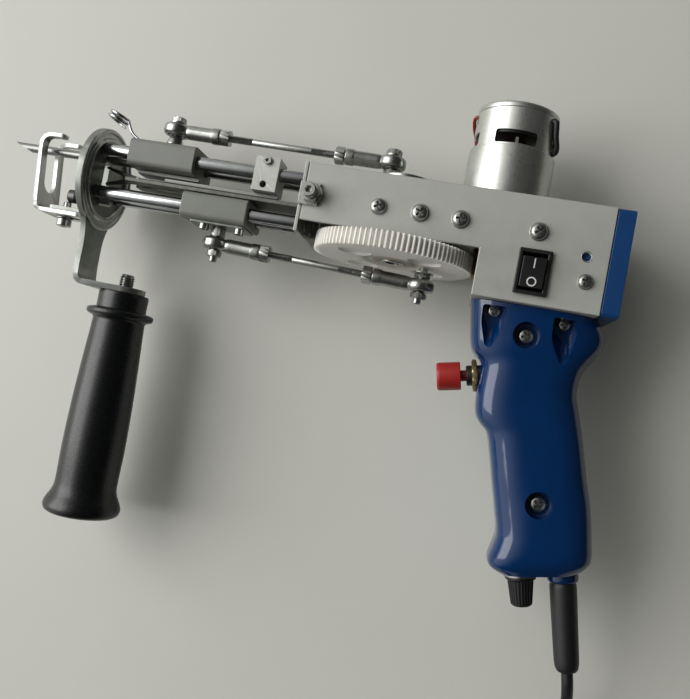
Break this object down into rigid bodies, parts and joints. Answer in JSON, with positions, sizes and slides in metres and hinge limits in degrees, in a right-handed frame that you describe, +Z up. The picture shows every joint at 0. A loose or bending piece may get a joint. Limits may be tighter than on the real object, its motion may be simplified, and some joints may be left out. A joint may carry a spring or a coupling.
{
  "type": "handheld tufting machine",
  "caption": "Handheld tufting machine: motor and spur gear drive a needle slider and a scissor slider on guide rods, with presser foot, side handle, trigger grip and cord.",
  "frame": {"origin": "bottom centre of the machine without its cord, on the table where the gear rim rests", "axes": "+X from the needle to the rear cap, +Y from the grip to the motor, +Z up, out of the side with the rocker switch"},
  "size_m": [0.3532, 0.4112, 0.08],
  "materials": {
    "anodised_aluminium": "satin anodised",
    "bare_aluminium": "milled",
    "zinc_plated_steel": "zinc plated",
    "chromed_steel": "polished",
    "dark_steel": "blackened",
    "bearing_steel": "ground",
    "motor_steel": "galvanised",
    "white_nylon": "moulded off-white",
    "grey_nylon": "machined, translucent grey",
    "blue_plastic": "glossy moulded blue",
    "cap_blue": "flat moulded blue",
    "black_plastic": "semi-gloss moulded black",
    "black_rubber": "matt black",
    "red_plastic": "moulded red",
    "brass": "bright",
    "copper_rotor": "lacquered windings on a steel core"
  },
  "bodies": {
    "housing": {"main_tube": "anodised_aluminium", "rear_cap": "cap_blue", "front_plate": "zinc_plated_steel", "front_plate_bolt": "zinc_plated_steel", "upper_rod_near": "chromed_steel", "upper_rod_far": "chromed_steel", "lower_rod_near": "chromed_steel", "lower_rod_far": "chromed_steel", "ring_plate": "zinc_plated_steel", "centre_plate": "bare_aluminium", "foot_bracket": "zinc_plated_steel", "foot_screw": "zinc_plated_steel", "bearing_block": "bare_aluminium", "upper_bearing": "bearing_steel", "lower_bearing": "bearing_steel", "motor_mount": "zinc_plated_steel", "motor_can": "motor_steel", "flux_ring": "motor_steel", "motor_end_cap": "motor_steel", "rocker_frame": "black_plastic", "grip_near_half": "blue_plastic", "grip_far_half": "blue_plastic", "button_body": "black_plastic", "button_nut": "brass", "speed_control": "dark_steel", "strain_relief": "black_rubber", "cord_gland": "blue_plastic", "front_grip": "black_plastic", "front_grip_stud": "zinc_plated_steel", "power_cord": "black_rubber", "cord_coil": "black_rubber", "plug": "black_plastic"},
    "foot": {"presser_foot": "zinc_plated_steel"},
    "stop": {"stop_block": "bare_aluminium", "cam_bar": "dark_steel"},
    "gear_train": {"drive_gear": "white_nylon", "gear_shaft": "dark_steel", "crank_disc": "zinc_plated_steel"},
    "rotor": {"motor_rotor": "copper_rotor", "motor_pinion": "brass"},
    "upper_carriage": {"upper_slider": "grey_nylon", "needle": "chromed_steel", "needle_carrier_plate": "dark_steel", "thread_guide": "chromed_steel", "upper_front_bolt": "zinc_plated_steel"},
    "lower_carriage": {"lower_slider": "grey_nylon", "fixed_blade": "dark_steel", "lower_front_bolt": "zinc_plated_steel"},
    "swing_blade": {"moving_blade": "dark_steel"},
    "upper_link": {"upper_link_rod": "zinc_plated_steel", "upper_front_rod_end": "zinc_plated_steel", "upper_rear_rod_end": "zinc_plated_steel", "upper_rear_bolt": "zinc_plated_steel"},
    "lower_link": {"lower_link_rod": "zinc_plated_steel", "lower_front_rod_end": "zinc_plated_steel", "lower_rear_rod_end": "zinc_plated_steel", "lower_rear_bolt": "zinc_plated_steel"},
    "trigger": {"trigger_button": "red_plastic"},
    "rocker": {"rocker_paddle": "black_plastic"},
    "knob": {"speed_knob": "black_plastic"}
  },
  "joints": [
    {"name": "drive_gear_spin", "type": "hinge", "parent": "housing", "child": "gear_train", "pos_m": [0.04823, 0.0739, 0.04], "axis": [0, 1, 0], "continuous": true},
    {"name": "motor_spin", "type": "hinge", "parent": "housing", "child": "rotor", "pos_m": [0.09703, 0.0739, 0.04], "axis": [0, 1, 0], "continuous": true},
    {"name": "upper_carriage_slide", "type": "slide", "parent": "housing", "child": "upper_carriage", "axis": [1, 0, 0], "range_m": [0, 0.0182]},
    {"name": "upper_link_swing", "type": "hinge", "parent": "upper_carriage", "child": "upper_link", "pos_m": [-0.07707, 0.0868, 0.04], "axis": [0, 1, 0], "range_deg": [-4.5, 4.5]},
    {"name": "lower_carriage_slide", "type": "slide", "parent": "housing", "child": "lower_carriage", "axis": [1, 0, 0], "range_m": [-0.032, 0]},
    {"name": "lower_link_swing", "type": "hinge", "parent": "lower_carriage", "child": "lower_link", "pos_m": [-0.04427, 0.0309, 0.04], "axis": [0, 1, 0], "range_deg": [-8.5, 8.5]},
    {"name": "blade_swing", "type": "hinge", "parent": "lower_carriage", "child": "swing_blade", "pos_m": [-0.09327, 0.0574, 0.04], "axis": [0, 0, 1], "range_deg": [0, 26]},
    {"name": "stop_slide", "type": "slide", "parent": "housing", "child": "stop", "axis": [1, 0, 0], "range_m": [-0.01, 0.014]},
    {"name": "foot_slide", "type": "slide", "parent": "housing", "child": "foot", "axis": [1, 0, 0], "range_m": [-0.007, 0.001]},
    {"name": "trigger_press", "type": "slide", "parent": "housing", "child": "trigger", "axis": [0.9763, 0.2164, 0], "range_m": [0, 0.0024], "stiffness_N_per_m": 800, "springref_m": -0.0015},
    {"name": "rocker_tilt", "type": "hinge", "parent": "housing", "child": "rocker", "pos_m": [0.11513, 0.0384, 0.0648], "axis": [1, 0, 0], "range_deg": [-16, 0]},
    {"name": "knob_turn", "type": "hinge", "parent": "housing", "child": "knob", "pos_m": [0.13631, -0.09941, 0.04], "axis": [0.2164, -0.9763, 0], "range_deg": [0, 300]}
  ],
  "couplings": [
    {"joint": "motor_spin", "follows": "drive_gear_spin", "ratio": -4.0833}
  ]
}
